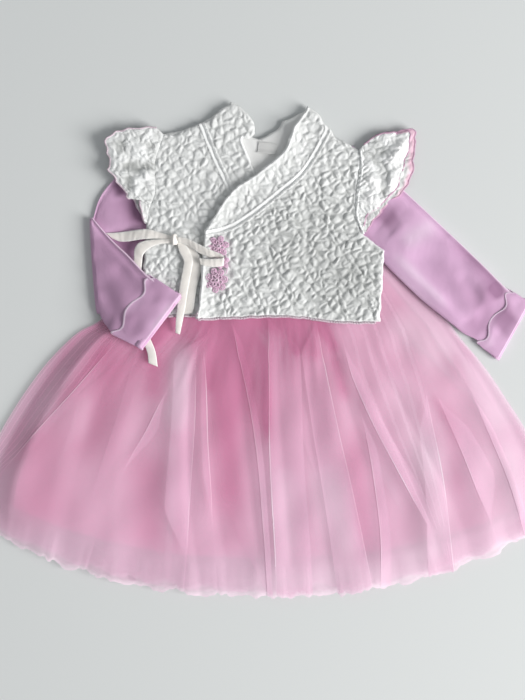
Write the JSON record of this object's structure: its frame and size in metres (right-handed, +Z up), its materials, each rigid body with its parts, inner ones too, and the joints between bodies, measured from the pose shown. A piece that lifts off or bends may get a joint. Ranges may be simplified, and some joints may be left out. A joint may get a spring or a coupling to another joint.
{
  "type": "toddler hanbok",
  "caption": "Flat-laid toddler hanbok: long-sleeved knit dress with gathered net skirt under a quilted wrap vest with frilled cap sleeves, ribbon tie and lace flowers.",
  "frame": {"origin": "on the surface that the garment lies on, below the middle of the vest's hem", "axes": "+X across the garment to the viewer's right, +Y from the hem towards the neck, +Z up from the surface"},
  "size_m": [0.634, 0.544, 0.0243],
  "materials": {
    "pink_knit": "soft matt jersey, pink-lilac",
    "pink_net": "soft see-through net in several layers, pink-lilac",
    "pink_lining": "smooth opaque lining, warm pink",
    "white_quilt": "crinkled quilted cotton, white",
    "grey_lining": "smooth cotton lining, light grey",
    "ivory_ribbon": "satin, ivory",
    "lilac_lace": "matt cotton crochet, lilac",
    "label_tape": "smooth blank tape, white"
  },
  "bodies": {
    "root": {"bodice_back": "pink_knit", "bodice_front": "pink_knit", "sleeve_left": "pink_knit", "sleeve_right": "pink_knit", "cuff_left": "pink_knit", "cuff_right": "pink_knit", "skirt_net_back": "pink_net", "skirt_net_under": "pink_net", "skirt_net_top": "pink_net", "skirt_lining_back": "pink_lining", "skirt_lining_front": "pink_lining", "vest_front_left": "white_quilt", "vest_front_right": "white_quilt", "collar_left": "white_quilt", "collar_right": "white_quilt", "cap_sleeve_left_back": "white_quilt", "cap_sleeve_left_front": "white_quilt", "cap_sleeve_right_back": "white_quilt", "cap_sleeve_right_front": "white_quilt", "vest_back": "grey_lining", "ribbon_end_left": "ivory_ribbon", "ribbon_tail_side": "ivory_ribbon", "ribbon_knot": "ivory_ribbon", "ribbon_loop": "ivory_ribbon", "ribbon_tail_front": "ivory_ribbon", "ribbon_tail_back": "ivory_ribbon", "lace_flower_upper": "lilac_lace", "lace_flower_middle": "lilac_lace", "lace_flower_lower": "lilac_lace", "neck_label": "label_tape"}
  },
  "joints": []
}
